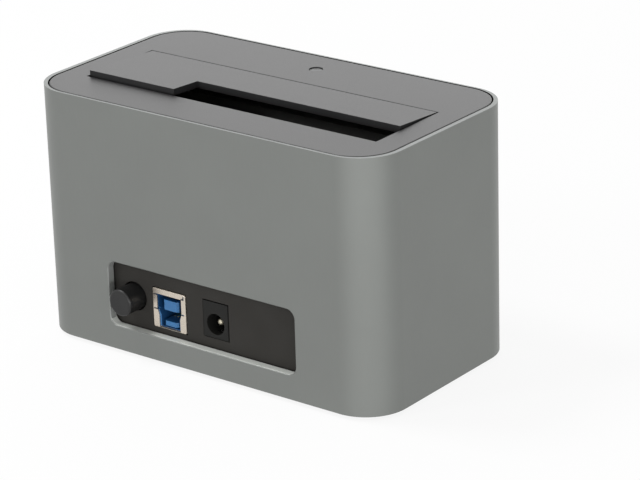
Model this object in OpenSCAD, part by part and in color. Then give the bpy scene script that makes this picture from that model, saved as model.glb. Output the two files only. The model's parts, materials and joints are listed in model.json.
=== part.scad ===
// Hard drive docking station: a metal sleeve round a drive well, a sprung door over the drive slot,
// and a port recess at the rear with a power button, a type B socket and a power jack.
// The front faces -Y, the ports face +Y, and the feet stand on Z = 0. Sizes are in millimetres.

/* [Case] */
// Width of the case
case_w = 124; // [112:1:150]
// Depth of the case, front to rear
case_d = 67.7; // [61:0.1:90]
// Height of the sleeve
case_h = 75.4; // [72:0.1:100]
// Radius of the sleeve's upright corners
corner_r = 13; // [11:0.5:15]
// Thickness of the sleeve's wall
sleeve_t = 2.5; // [2:0.1:2.6]
// Thickness of the rim at the front and rear of the top cover and the bottom plate
rim_t = 0.65; // [0.6:0.05:1]
// Thickness of the rim at the sides of the top cover and the bottom plate
rim_side_t = 1.35; // [1:0.05:1.4]
// Gap between the rim and the plate inside it
seat_gap = 0.3; // [0.1:0.05:0.3]
// Thickness of the top cover
cover_t = 2.2; // [1.8:0.1:3]
// Thickness of the bottom plate
bottom_t = 2.5; // [2.4:0.1:4]
// Distance of a case post from the sleeve's two outer faces
post_inset = 8.4; // [8:0.1:9]
// Radius of a case post
post_r = 3.2; // [2.6:0.1:3.3]

/* [Drive slot] */
// Distance of the slot's ends from the case's sides
slot_side = 10; // [9:0.25:10.5]
// Depth of the drive slot, front to rear
slot_d = 29; // [28:0.5:31]
// Distance of the slot's rear edge behind the middle of the case's rear half
slot_back = 1.475; // [0:0.025:1.9]
// Width of the smaller slot left open by the door
small_slot_w = 72; // [70:1:80]
// Depth of the smaller slot left open by the door
small_slot_d = 11.5; // [10:0.5:14]
// Thickness of the well's walls
bay_t = 1.8; // [1.2:0.1:2]
// Thickness of the well's floor
bay_floor_t = 2; // [1.8:0.1:3]
// How far the well's walls stand back from the slot's edges
bay_lip = 0.2; // [0.1:0.1:0.4]

/* [Door] */
// Thickness of the door
flap_t = 2; // [1.6:0.1:2.4]
// Angle at which the door rests above the cover
flap_tilt = 3.2; // [1:0.1:4]
// Gap at each end of the door
flap_side_gap = 0.4; // [0.3:0.1:0.8]
// Gap between the door's rear edge and the slot
flap_rear_gap = 1; // [1:0.1:2]
// Gap between the door's hinged edge and the slot
flap_front_gap = 0.35; // [0.3:0.05:0.6]
// Distance of the hinge ahead of the slot's front edge
hinge_ahead = 3; // [2.6:0.1:3.2]
// Radius of the hinge pin
hinge_pin_r = 1; // [0.8:0.1:1]
// Thickness of a knuckle round the hinge pin
knuckle_t = 1; // [0.9:0.1:1.1]
// Length of a knuckle along the hinge pin
knuckle_w = 12; // [8:1:16]
// Distance of a knuckle from the middle of the case
knuckle_x = 30; // [28:1:34]
// Length of a hinge ear along the pin
ear_w = 3; // [2:0.5:4]
// Turns in a door spring
flap_spring_turns = 5; // [3:1:7]
// Thickness of the door spring's wire
flap_spring_wire = 0.6; // [0.4:0.1:0.6]

/* [Rear recess] */
// Width of the recess
port_w = 68; // [66:1:70]
// Height of the recess
port_h = 19.65; // [19:0.05:22]
// Height of the recess above the sleeve's lower edge
port_z = 7.5; // [7.5:0.5:12]
// Radius of the recess's corners
port_r = 2.75; // [1.5:0.25:4]
// Thickness of the rear panel
panel_t = 2; // [1.5:0.1:2.5]
// Gap between the sleeve and the rear panel
panel_gap = 0.7; // [0.6:0.1:1.5]
// How far the panel reaches past the recess on each side
panel_lap = 2; // [1.8:0.1:2.5]

/* [Power button] */
// Distance of the button from the middle of the case
button_x = 27; // [25:0.5:28]
// Height of the button above the recess's lower edge
button_rise = 9.1; // [9:0.1:10]
// Radius of the button
button_r = 4.05; // [3.5:0.05:4.5]
// Radius of the button's rounded edge
button_round = 0.6; // [0.3:0.1:1]
// How far the button stands out of the case
button_proud = 3.5; // [3:0.1:5]
// Travel of the button
button_travel = 2.5; // [2:0.1:3]
// Width of the switch
switch_w = 8; // [7:0.5:9]
// Length of the switch
switch_l = 13; // [12.5:0.5:16]
// Width of the switch's square plunger
plunger_w = 3.4; // [3:0.1:3.8]

/* [Type B socket] */
// Distance of the socket from the middle of the case
usb_x = 13.8; // [12.5:0.1:14.5]
// Width of the socket's shell
usb_w = 12.1; // [12:0.1:12.6]
// Height of the socket's shell
usb_h = 12; // [11.8:0.1:12.5]
// Length of the socket's shell
usb_l = 18.5; // [16:0.5:20]
// Thickness of the shell
usb_t = 0.4; // [0.3:0.05:0.5]
// How far the shell stands out of the rear panel
usb_proud = 0.3; // [0:0.1:0.5]
// Height of the rails that hold the shell off the board
usb_drop = 0.4; // [0.2:0.1:0.6]
// Width of the upper part of the socket's mouth
usb_wide_w = 8.9; // [8.6:0.1:9.5]
// Width of the lower part of the socket's mouth
usb_narrow_w = 6.8; // [6.2:0.1:7.4]

/* [Power jack] */
// Distance of the jack from the middle of the case, towards the other side
jack_x = 3.2; // [2.5:0.1:5]
// Width of the jack
jack_w = 9; // [8.6:0.1:9.5]
// Height of the jack
jack_h = 11; // [10.6:0.1:11.5]
// Length of the jack
jack_l = 14.2; // [13.5:0.1:16]
// Depth of the jack's bore below the board
jack_bore_drop = 6.65; // [6:0.05:6.8]
// Radius of the jack's bore
jack_bore_r = 3.15; // [3:0.05:3.3]
// Length of the jack's bore
jack_bore_l = 10; // [9.5:0.5:11]
// Radius of the jack's centre pin
jack_pin_r = 1.05; // [0.8:0.05:1.25]
// Distance of the pin's tip behind the jack's mouth
jack_pin_back = 1.6; // [0.5:0.1:3]

/* [Status light] */
// Distance of the light ahead of the slot's front edge
light_ahead = 11.95; // [11.9:0.05:13]
// Radius of the light window
light_r = 2; // [1.5:0.1:2]
// Depth of the light window below the cover's face
light_sink = 0.3; // [0.1:0.1:0.8]

/* [Board and drive connector] */
// Height of the board above the recess's lower edge
board_rise = 14; // [13.6:0.1:15]
// Thickness of the board
board_t = 1.6; // [1:0.1:2]
// Gap between the board and the well's floor
board_gap = 2.4; // [2:0.1:4]
// Distance of the drive connector from the middle of the case
sata_x = -12.7; // [-14:0.1:-11]
// Distance of the drive connector from the slot's rear edge
sata_rear = 4.05; // [3.9:0.05:5]
// Width of the drive connector
sata_w = 42; // [40:0.5:44]
// Thickness of the drive connector
sata_d = 6.4; // [6:0.1:7]
// Height of the drive connector above the board
sata_h = 9.2; // [8.5:0.1:11]

/* [Feet and screws] */
// Height of the feet below the sleeve
foot_h = 1.2; // [0.8:0.1:3]
// Radius of a foot
foot_r = 5; // [4:0.5:6]
// Depth of the seat that a foot sits in
foot_sink = 0.8; // [0.5:0.1:1.2]
// Distance of a foot from the case's sides
foot_side = 24; // [20:1:30]
// Distance of a foot from the case's front and rear
foot_end = 11; // [10:0.5:14]
// Radius of a screw's shank
screw_r = 1.2; // [1:0.05:1.3]
// Radius of a screw's head
screw_head_r = 2.4; // [2.1:0.1:2.5]
// Height of a screw's head
screw_head_h = 1.3; // [0.9:0.1:1.4]

/* [Hidden] */
$fn = 64;

// Overrun of a cut past a face, and how far joined shapes run into each other
over = 1;
weld = 0.4;

// Clearances: a pin that turns, a pin that is pressed in, a sliding flat, a screw's thread and its hole
turn_fit = 0.05;
press_fit = 0.02;
slide_fit = 0.15;
thread_fit = 0.05;
hole_fit = 0.3;
edge_gap = 0.3;

// Heights
z_top = foot_h + case_h;
z_cover = z_top - cover_t;
z_inside = foot_h + bottom_t;
z_port = foot_h + port_z;
z_board = z_port + board_rise;
z_board_top = z_board + board_t;
z_bay_under = z_board_top + board_gap;
z_bay_floor = z_bay_under + bay_floor_t;

// Places from side to side
slot_w = case_w - 2 * slot_side;

// Places from front to rear
y_rear = case_d / 2;
y_slot_rear = case_d / 4 + slot_back;
y_slot_front = y_slot_rear - slot_d;
y_panel = y_rear - sleeve_t - panel_gap;
y_panel_back = y_panel - panel_t;
y_light = y_slot_front - light_ahead;
y_sata = y_slot_rear - sata_rear;

// Hinge: its axis lies ahead of the slot, low enough for the knuckles to clear the cover and the open door
hinge_clear = 0.4;
knuckle_r = hinge_pin_r + knuckle_t;
hinge_y = y_slot_front - hinge_ahead;
y_flap_front = y_slot_front + flap_front_gap;
arm_front = y_flap_front - hinge_y;
hinge_z = z_top - max(cover_t, flap_t + arm_front * sin(flap_tilt)) - hinge_clear - knuckle_r;
ear_step = knuckle_w / 2 + edge_gap + ear_w / 2;
pin_end = knuckle_x + ear_step + ear_w / 2;

// Door: a tilted plate on two arms, and the space it needs when it hangs open
flap_w = slot_w - 2 * flap_side_gap;
flap_l = (y_slot_rear - flap_rear_gap - y_flap_front) / cos(flap_tilt);
flap_cut_l = (small_slot_d - flap_rear_gap) / cos(flap_tilt);
flap_cut_w = small_slot_w - flap_side_gap;
arm_lap = 2.1;
arm_drop = 0.6;
arm_end = arm_front + arm_lap;
flap_top_reach = (z_top - hinge_z) * cos(flap_tilt) - arm_front * sin(flap_tilt);

// Well: inner faces, with a trough ahead of it for the hinge
hang_gap = 0.5;
bay_w = slot_w + 2 * bay_lip;
y_bay_rear = y_slot_rear + bay_lip;
y_bay_front = hinge_y + flap_top_reach - flap_t - hang_gap;
trough_gap = 1.6;
trough_clear = 0.7;
trough_side = 1.2;
trough_w = 2 * (pin_end + trough_side);
y_trough = hinge_y - knuckle_r - trough_gap;
z_trough = hinge_z - arm_end - trough_clear;

// Tabs that hang the well from bosses under the cover
boss_h = 6;
boss_r = 3;
tab_t = 2;
tab_w = 9;
tab_l = 7.5;
tab_x = 30;
z_boss = z_cover - boss_h;
z_tab = z_boss - tab_t;
y_tab_rear = y_bay_rear + bay_t + tab_l / 2;
y_tab_front = y_trough - bay_t - tab_l / 2;

// Board, and the bosses under the well that carry it
board_margin = 4;
board_w = slot_w - 2 * board_margin;
board_front_lap = 3.5;
y_board_front = y_light - board_front_lap;
y_board_rear = y_panel_back - edge_gap;
board_boss_r = 2.5;
board_boss_side = 8;
board_boss_end = 5;
board_boss_x = slot_w / 2 - board_boss_side;
board_boss_y = [y_bay_front + board_boss_end, y_bay_rear - board_boss_end];

// Rear panel and the guides that hold it
panel_w = port_w + 2 * panel_lap;
panel_h = z_port + port_h + panel_lap - z_inside;
guide_lap = 1.4;
guide_side = 2.4;
guide_t = 1.6;
guide_under_board = 1;
rib_h = 3;
y_guide = y_rear - sleeve_t - slide_fit;
window_gap = 0.2;

// Power button, its flange behind the panel and the switch behind that
z_button = z_port + button_rise;
y_button = y_rear + button_proud;
flange_t = 1;
flange_lap = 1.2;
button_gap = 0.35;
button_hole_r = button_r + button_gap;
y_flange = y_panel_back - edge_gap - flange_t;
socket_l = 5;
switch_clear = 0.5;
switch_half_h = z_board - z_button;
y_switch = y_flange - button_travel - switch_clear;
switch_back_t = 1.5;
plunger_gap = 0.35;
piston_lap = 0.15;
switch_bore_w = plunger_w + 2 * plunger_gap;
piston_w = plunger_w + 2 * piston_lap;
piston_l = 2;
plunger_in = 5.8;
y_piston = y_switch - plunger_in;
y_switch_back = y_switch - switch_l + switch_back_t;
switch_spring_wire = 0.4;
switch_spring_r = 1.2;
switch_spring_turns = 5;
switch_spring_lead = 0.6;
notch_half_w = button_r + flange_lap + edge_gap;
y_notch = y_flange - button_travel - edge_gap;

// Type B socket: heights above the shell's underside of the mouth's lower edge, shoulders and upper edge
z_usb_top = z_board - usb_drop;
z_usb = z_usb_top - usb_h;
y_usb = y_panel + usb_proud;
usb_mouth_z = [0.5, 3.9, 6, 10.4];
usb_socket_l = 9;
usb_rail_w = 1;
usb_rail_side = 0.6;
usb_rail_back = 1;
usb_tongue_back = 0.5;
usb_upper_tongue = [5.6, 5.7, 8.85];
usb_lower_tongue = [5.05, 0.9, 2.45];
usb_contact_w = 0.5;
usb_contact_t = 0.15;
usb_contact_back = 0.6;
usb_upper_count = 5;
usb_lower_count = 4;

// Power jack
jack_proud = 0.2;
y_jack = y_panel + jack_proud;
z_jack_bore = z_board - jack_bore_drop;
jack_pin_root = 2;
leaf_w = 2.4;
leaf_t = 0.4;
leaf_rise = 0.2;
leaf_l = 6.5;
leaf_back = 2.5;

// Light guide: a head in the cover's hole, a collar under its tube and a rod down to the lamp
guide_tube_h = 5;
guide_tube_t = 1;
collar_lap = 0.8;
collar_r = light_r + collar_lap;
collar_t = 1;
guide_step = 0.4;
guide_rod_r = light_r - guide_step;
led_size = [3.2, 2.6, 1];
led_dome_r = 1;
led_dome_h = 0.8;
led_gap = 0.4;
z_led = z_board_top + led_size[2] + led_dome_h;

// Drive connector: two keyed slots, and one contact blade at each place along them
sata_slot_d = 2.6;
sata_slot_depth = 6.5;
sata_pitch = 1.27;
sata_signal_count = 7;
sata_power_count = 15;
sata_slot_margin = 2.7;
sata_rib = 2.4;
sata_key = [1.2, 1.1];
sata_blade = [0.6, 0.3, 5.5];
sata_signal_w = (sata_signal_count - 1) * sata_pitch + sata_slot_margin;
sata_power_w = (sata_power_count - 1) * sata_pitch + sata_slot_margin;
sata_slots_w = sata_signal_w + sata_rib + sata_power_w;
x_sata_signal = sata_x - sata_slots_w / 2;
x_sata_power = x_sata_signal + sata_signal_w + sata_rib;
z_sata = z_board_top + sata_h;
sata_gap = 0.5;

// Screws: how deep each kind reaches, what is left over its tip, and the seat of a case screw's head
screw_tip = 0.4;
screw_cover = 1;
case_screw_in = 10;
board_screw_in = board_gap + bay_floor_t - screw_cover;
bay_screw_in = boss_h - screw_cover;
head_recess = 0.1;
head_sink = screw_head_h + head_recess;

// Feet
post_x = case_w / 2 - post_inset;
post_y = case_d / 2 - post_inset;
foot_x = case_w / 2 - foot_side;
foot_y = case_d / 2 - foot_end;
foot_fit = 0.1;

// Parts on the board's underside: size and place of each
chip_size = [10, 10, 1.2];
chip_at = [10, -2];
memory_size = [5, 4, 1.5];
memory_at = [-6, -4];
regulator_size = [6.5, 6, 2.3];
regulator_side = 24;
regulator_at = [regulator_side - board_w / 2, 3];
coil_size = [7.3, 7.3, 4];
coil_side = 14;
coil_at = [coil_side - board_w / 2, -3];
capacitor_r = 3.15;
capacitor_h = 7;
capacitor_at = [-26, -15];
capacitor_step = 8;
capacitor_count = 2;
crystal_size = [11, 4.5, 3.5];
crystal_at = [27, -4];
resistor_size = [2, 1.25, 0.6];
resistor_at = [6, -15];
resistor_step = [4, 4];
resistor_count = [6, 2];

// Door springs: wire, coil, legs
coil_gap = 0.35;
turn_gap = 0.5;
flap_coil_r = hinge_pin_r + coil_gap + flap_spring_wire / 2;
flap_spring_pitch = flap_spring_wire + turn_gap;
flap_spring_x = knuckle_x - ear_step - ear_w / 2 - edge_gap - flap_spring_wire / 2;
flap_leg_front = 2.6;
flap_leg_short = 0.2;
flap_leg_rear = arm_end - flap_leg_short;
flap_leg_rise = 0.3;
coil_steps = 12;
wire_sides = 8;

// Colours
metal_grey = [0.49, 0.51, 0.5];
cover_black = [0.16, 0.16, 0.17];
bay_black = [0.07, 0.07, 0.07];
panel_black = [0.13, 0.13, 0.13];
rubber_black = [0.05, 0.05, 0.05];
plated = [0.85, 0.82, 0.75];
steel = [0.7, 0.7, 0.72];
gold = [0.85, 0.7, 0.35];
socket_blue = [0.12, 0.35, 0.65];
board_green = [0.05, 0.3, 0.16];
clear_white = [0.85, 0.87, 0.86];
chip_black = [0.08, 0.08, 0.09];

// Rectangle with round corners, about the origin
module rounded_rect(w, d, r) {
  square([w - 2 * r, d], center = true);
  square([w, d - 2 * r], center = true);
  for (sx = [-1, 1], sy = [-1, 1])
    translate([sx * (w / 2 - r), sy * (d / 2 - r)]) circle(r);
}

// Plate with the case's outline, drawn in from its sides and its front and rear, between two heights
module case_plate(side, end, z0, z1) {
  translate([0, 0, z0])
    linear_extrude(z1 - z0)
      rounded_rect(case_w - 2 * side, case_d - 2 * end, corner_r - end);
}

// Box between two corners
module box(low, high) {
  translate(low) cube(high - low);
}

// Box under the board at a place on it
module hung_box(at, size) {
  translate([at[0] - size[0] / 2, at[1] - size[1] / 2, z_board - size[2]]) cube(size);
}

// Outline on the Y and Z axes, drawn out along X
module along_x(x0, x1) {
  translate([x0, 0, 0]) rotate([90, 0, 90]) linear_extrude(x1 - x0) children();
}

// Outline on the X and Z axes, drawn out along Y
module along_y(y0, y1) {
  translate([0, y1, 0]) rotate([90, 0, 0]) linear_extrude(y1 - y0) children();
}

// Round bars along each axis
module bar_x(r, x0, x1, y, z) {
  translate([x0, y, z]) rotate([0, 90, 0]) cylinder(r = r, h = x1 - x0);
}

module bar_y(r, x, y0, y1, z) {
  translate([x, y0, z]) rotate([-90, 0, 0]) cylinder(r = r, h = y1 - y0);
}

module bar_z(r, x, y, z0, z1) {
  translate([x, y, z0]) cylinder(r = r, h = z1 - z0);
}

// Children at four places that mirror each other
module at_corners(x, y) {
  for (sx = [-1, 1], sy = [-1, 1])
    translate([sx * x, sy * y, 0]) children();
}

// Children at the screws that hang the well, and at those that hold the board
module at_tabs() {
  for (sx = [-1, 1], y = [y_tab_front, y_tab_rear])
    translate([sx * tab_x, y, 0]) children();
}

module at_board_bosses() {
  for (sx = [-1, 1], y = board_boss_y)
    translate([sx * board_boss_x, y, 0]) children();
}

// Screw that points up, with its head's seat at z and its shank reaching length above that
module screw(z, length) {
  bar_z(screw_head_r, 0, 0, z - screw_head_h, z);
  bar_z(screw_r, 0, 0, z - weld, z + length);
}

// Points of a spring's wire: a straight lead-in, turns round X from the top, and a straight run-out
function coil_points(r, pitch, turns, lead, out, rise) = concat(
  [[0, -lead, r]],
  [for (i = [0 : turns * coil_steps])
    let (a = 360 * i / coil_steps) [pitch * i / coil_steps, r * sin(a), r * cos(a)]],
  [[pitch * turns, out, r + rise]]
);

// Points of one ring of the wire, square to its run
function wire_ring(points, i, wire) =
  let (
    last = len(points) - 1,
    run = points[min(i + 1, last)] - points[max(i - 1, 0)],
    along = run / norm(run),
    out = [0, points[i][1], points[i][2]],
    ahead = i == 0 || i == last ? [0, 0, 1] : out / norm(out),
    side = cross(along, ahead) / norm(cross(along, ahead)),
    up = cross(side, along)
  )
  [for (k = [0 : wire_sides - 1])
    let (a = 360 * k / wire_sides) points[i] + wire / 2 * (cos(a) * up + sin(a) * side)];

// Least gap of a wire to itself, between points at least half a turn apart
function wire_gap(points, wire) = min([
  for (i = [0 : len(points) - 1])
    for (j = [i + coil_steps / 2 : 1 : len(points) - 1]) norm(points[i] - points[j])
]) - wire;

// One unbroken wire along the points
module wire_tube(points, wire) {
  n = len(points);
  s = wire_sides;
  sides = [for (i = [0 : n - 2], k = [0 : s - 1])
    let (a = i * s + k, b = i * s + (k + 1) % s) each [[a, b, a + s], [b, b + s, a + s]]];
  start = [for (k = [1 : s - 2]) [0, k + 1, k]];
  finish = [for (k = [1 : s - 2]) [(n - 1) * s, (n - 1) * s + k, (n - 1) * s + k + 1]];
  polyhedron([for (i = [0 : n - 1]) each wire_ring(points, i, wire)], concat(sides, start, finish));
}

// Metal tube with a rebate at each end and the port recess cut through its rear
module outer_sleeve() {
  color(metal_grey)
    difference() {
      case_plate(0, 0, foot_h, z_top);
      case_plate(sleeve_t, sleeve_t, foot_h - over, z_top + over);
      case_plate(rim_side_t, rim_t, z_cover, z_top + over);
      case_plate(rim_side_t, rim_t, foot_h - over, z_inside);
      along_y(y_rear - sleeve_t - over, y_rear + over)
        translate([0, z_port + port_h / 2]) rounded_rect(port_w, port_h, port_r);
    }
}

// Ear that carries the hinge pin under the cover
module hinge_ear(x) {
  along_x(x - ear_w / 2, x + ear_w / 2)
    translate([hinge_y, hinge_z]) {
      circle(knuckle_r);
      translate([-knuckle_r, 0]) square([2 * knuckle_r, z_cover + weld - hinge_z]);
    }
}

// Cover with the drive slot, and below it the case posts, bosses, hinge ears and the light guide's tube
module top_cover() {
  color(cover_black)
    difference() {
      union() {
        case_plate(rim_side_t + seat_gap, rim_t + seat_gap, z_cover, z_top);
        at_corners(post_x, post_y) bar_z(post_r, 0, 0, z_inside, z_cover + weld);
        at_tabs() bar_z(boss_r, 0, 0, z_boss, z_cover + weld);
        for (sx = [-1, 1], step = [-ear_step, ear_step])
          hinge_ear(sx * knuckle_x + step);
        bar_z(light_r + guide_tube_t, 0, y_light, z_cover - guide_tube_h, z_cover + weld);
      }
      box([-slot_w / 2, y_slot_front, z_cover - over], [slot_w / 2, y_slot_rear, z_top + over]);
      bar_z(light_r + press_fit, 0, y_light, z_cover - guide_tube_h - over, z_top + over);
      bar_x(hinge_pin_r + press_fit, -pin_end - over, pin_end + over, hinge_y, hinge_z);
      at_corners(post_x, post_y)
        bar_z(screw_r + thread_fit, 0, 0, z_inside - over, z_inside + case_screw_in + screw_tip);
      at_tabs()
        bar_z(screw_r + thread_fit, 0, 0, z_boss - over, z_boss + bay_screw_in + screw_tip);
    }
}

// Guide for one side of the rear panel
module panel_guide(side) {
  x_in = panel_w / 2 - guide_lap;
  difference() {
    mirror([side, 0, 0])
      box([x_in, y_panel_back - slide_fit - guide_t, z_inside - weld],
          [panel_w / 2 + guide_side, y_guide, z_board - guide_under_board]);
    box([-panel_w / 2 - slide_fit, y_panel_back - slide_fit, z_inside],
        [panel_w / 2 + slide_fit, y_panel + slide_fit, z_top]);
  }
}

// Plate that closes the sleeve from below, with seats for the feet and screws and a groove for the panel
module bottom_plate() {
  color(cover_black)
    difference() {
      union() {
        case_plate(rim_side_t + seat_gap, rim_t + seat_gap, foot_h, z_inside);
        for (side = [0, 1]) panel_guide(side);
        box([-panel_w / 2, y_panel + slide_fit, z_inside - weld], [panel_w / 2, y_guide, z_inside + rib_h]);
        box([-panel_w / 2, y_panel_back - slide_fit - guide_t, z_inside - weld],
            [panel_w / 2, y_panel_back - slide_fit, z_inside + rib_h]);
      }
      at_corners(post_x, post_y) {
        bar_z(screw_r + hole_fit, 0, 0, foot_h - over, z_inside + over);
        bar_z(screw_head_r + hole_fit, 0, 0, foot_h - over, foot_h + head_sink);
      }
      at_corners(foot_x, foot_y) bar_z(foot_r + foot_fit, 0, 0, foot_h - over, foot_h + foot_sink);
    }
}

// Plate behind the recess, with a window for each socket and a hole for the button
module rear_panel() {
  color(panel_black)
    along_y(y_panel_back, y_panel)
      difference() {
        translate([-panel_w / 2, z_inside]) square([panel_w, panel_h]);
        translate([usb_x - usb_w / 2 - window_gap, z_usb - window_gap])
          square([usb_w + 2 * window_gap, usb_h + 2 * window_gap]);
        translate([-jack_x - jack_w / 2 - window_gap, z_board - jack_h - window_gap])
          square([jack_w + 2 * window_gap, jack_h + 2 * window_gap]);
        translate([button_x, z_button]) circle(button_hole_r);
      }
}

// Tab on the well's side, from its wall to its free end
module bay_tab(y0, y1) {
  for (sx = [-1, 1])
    box([sx * tab_x - tab_w / 2, y0, z_tab], [sx * tab_x + tab_w / 2, y1, z_tab + tab_t]);
}

// Well for the drive, with a trough for the hinge, tabs to hang it by and bosses for the board
module drive_bay() {
  color(bay_black)
    difference() {
      union() {
        box([-bay_w / 2 - bay_t, y_bay_front - bay_t, z_bay_under],
            [bay_w / 2 + bay_t, y_bay_rear + bay_t, z_cover]);
        box([-trough_w / 2 - bay_t, y_trough - bay_t, z_trough - bay_t],
            [trough_w / 2 + bay_t, y_bay_front, z_cover]);
        bay_tab(y_bay_rear + bay_t - weld, y_bay_rear + bay_t + tab_l);
        bay_tab(y_trough - bay_t - tab_l, y_trough - bay_t + weld);
        at_board_bosses() bar_z(board_boss_r, 0, 0, z_board_top, z_bay_under + weld);
      }
      box([-bay_w / 2, y_bay_front, z_bay_floor], [bay_w / 2, y_bay_rear, z_cover + over]);
      box([-trough_w / 2, y_trough, z_trough], [trough_w / 2, y_bay_front + over, z_cover + over]);
      box([sata_x - sata_w / 2 - sata_gap, y_sata - sata_d / 2 - sata_gap, z_bay_under - over],
          [sata_x + sata_w / 2 + sata_gap, y_sata + sata_d / 2 + sata_gap, z_bay_floor + over]);
      at_tabs() bar_z(screw_r + hole_fit, 0, 0, z_tab - over, z_tab + tab_t + over);
      at_board_bosses()
        bar_z(screw_r + thread_fit, 0, 0, z_board_top - over, z_board_top + board_screw_in + screw_tip);
    }
}

// Arm from the hinge to the door's underside, with a knuckle round the pin
module flap_arm(x) {
  plate_mid = z_top - flap_t / 2 - hinge_z;
  plate_under = z_top - flap_t - hinge_z;
  along_x(x - knuckle_w / 2, x + knuckle_w / 2)
    translate([hinge_y, hinge_z]) {
      circle(knuckle_r);
      polygon([
        [0, knuckle_r],
        [arm_front, knuckle_r],
        [arm_front, plate_mid],
        [arm_end, plate_mid],
        [arm_end, plate_under - arm_drop],
        [0, -knuckle_r]
      ]);
    }
}

// Door with a cut along its rear edge that leaves the smaller slot open
module drive_flap() {
  color(cover_black)
    difference() {
      union() {
        translate([0, y_flap_front, z_top])
          rotate([flap_tilt, 0, 0])
            translate([0, 0, -flap_t])
              linear_extrude(flap_t)
                difference() {
                  translate([-flap_w / 2, 0]) square([flap_w, flap_l]);
                  translate([-flap_w / 2 - over, flap_l - flap_cut_l])
                    square([flap_cut_w + over, flap_cut_l + over]);
                }
        for (sx = [-1, 1]) flap_arm(sx * knuckle_x);
      }
      bar_x(hinge_pin_r + turn_fit, -pin_end - over, pin_end + over, hinge_y, hinge_z);
    }
}

module hinge_pin() {
  color(steel) bar_x(hinge_pin_r, -pin_end, pin_end, hinge_y, hinge_z);
}

// Two springs on the hinge pin: one leg under the cover, the other under the door
module flap_springs() {
  points = coil_points(flap_coil_r, flap_spring_pitch, flap_spring_turns,
                       flap_leg_front, flap_leg_rear, flap_leg_rise);
  echo(flap_spring_gap = wire_gap(points, flap_spring_wire));
  color(steel)
    for (side = [0, 1])
      mirror([side, 0, 0])
        translate([flap_spring_x, hinge_y, hinge_z])
          mirror([1, 0, 0]) wire_tube(points, flap_spring_wire);
}

module light_guide() {
  z_collar = z_cover - guide_tube_h;
  color(clear_white) {
    bar_z(light_r, 0, y_light, z_collar, z_top - light_sink);
    bar_z(collar_r, 0, y_light, z_collar - collar_t, z_collar);
    bar_z(guide_rod_r, 0, y_light, z_led + led_gap, z_collar - collar_t + weld);
  }
}

module status_led() {
  color(clear_white) {
    translate([-led_size[0] / 2, y_light - led_size[1] / 2, z_board_top]) cube(led_size);
    bar_z(led_dome_r, 0, y_light, z_led - led_dome_h - weld, z_led);
  }
}

// Board with holes for its screws and a notch behind the button's flange
module main_board() {
  color(board_green)
    difference() {
      box([-board_w / 2, y_board_front, z_board], [board_w / 2, y_board_rear, z_board_top]);
      box([button_x - notch_half_w, y_notch, z_board - over],
          [button_x + notch_half_w, y_board_rear + over, z_board_top + over]);
      at_board_bosses() bar_z(screw_r + hole_fit, 0, 0, z_board - over, z_board_top + over);
    }
}

// Slot of the drive connector, with a key at one end
module sata_slot(x, w) {
  y0 = y_sata - sata_slot_d / 2;
  box([x, y0, z_sata - sata_slot_depth], [x + w, y0 + sata_slot_d, z_sata + over]);
  box([x, y0 - sata_key[1], z_sata - sata_slot_depth], [x + sata_key[0], y0 + over, z_sata + over]);
}

module sata_receptacle() {
  color(chip_black)
    difference() {
      box([sata_x - sata_w / 2, y_sata - sata_d / 2, z_board_top],
          [sata_x + sata_w / 2, y_sata + sata_d / 2, z_sata]);
      sata_slot(x_sata_signal, sata_signal_w);
      sata_slot(x_sata_power, sata_power_w);
    }
}

// Row of contact blades standing against the rear wall of one slot
module sata_blades(x, count) {
  for (i = [0 : count - 1])
    translate([
      x + sata_slot_margin / 2 + i * sata_pitch - sata_blade[0] / 2,
      y_sata + sata_slot_d / 2 - sata_blade[1],
      z_sata - sata_slot_depth
    ])
      cube(sata_blade);
}

module sata_contacts() {
  color(gold) {
    sata_blades(x_sata_signal, sata_signal_count);
    sata_blades(x_sata_power, sata_power_count);
  }
}

// Mouth of the type B socket, with sloping shoulders between its two widths, down to a height
module usb_mouth(low) {
  wide = usb_wide_w / 2;
  narrow = usb_narrow_w / 2;
  translate([usb_x, z_usb])
    polygon([
      [-narrow, low],
      [narrow, low],
      [narrow, usb_mouth_z[1]],
      [wide, usb_mouth_z[2]],
      [wide, usb_mouth_z[3]],
      [-wide, usb_mouth_z[3]],
      [-wide, usb_mouth_z[2]],
      [-narrow, usb_mouth_z[1]]
    ]);
}

// Space inside the shell
module usb_inside(y0, y1) {
  box([usb_x - usb_w / 2 + usb_t, y0, z_usb + usb_t], [usb_x + usb_w / 2 - usb_t, y1, z_usb_top - usb_t]);
}

// Folded shell with the mouth cut through its front, and two rails that hold it off the board
module usb_shell() {
  rail_x = usb_w / 2 - usb_rail_side - usb_rail_w / 2;
  color(plated) {
    difference() {
      box([usb_x - usb_w / 2, y_usb - usb_l, z_usb], [usb_x + usb_w / 2, y_usb, z_usb_top]);
      usb_inside(y_usb - usb_l - over, y_usb - usb_t);
      along_y(y_usb - usb_t - over, y_usb + over) usb_mouth(usb_mouth_z[0]);
    }
    for (sx = [-1, 1])
      translate([usb_x + sx * rail_x, 0, 0])
        box([-usb_rail_w / 2, y_usb - usb_l + usb_rail_back, z_usb_top - usb_t / 2],
            [usb_rail_w / 2, y_board_rear - usb_rail_back, z_board]);
  }
}

// Tongue of the socket: width, and heights of its two faces above the shell's underside
module usb_tongue(tongue) {
  box([usb_x - tongue[0] / 2, y_usb - usb_socket_l - weld, z_usb + tongue[1]],
      [usb_x + tongue[0] / 2, y_usb - usb_tongue_back, z_usb + tongue[2]]);
}

module usb_insulator() {
  color(socket_blue) {
    difference() {
      usb_inside(y_usb - usb_l, y_usb - usb_t);
      along_y(y_usb - usb_socket_l, y_usb + over) usb_mouth(0);
    }
    usb_tongue(usb_upper_tongue);
    usb_tongue(usb_lower_tongue);
  }
}

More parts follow.
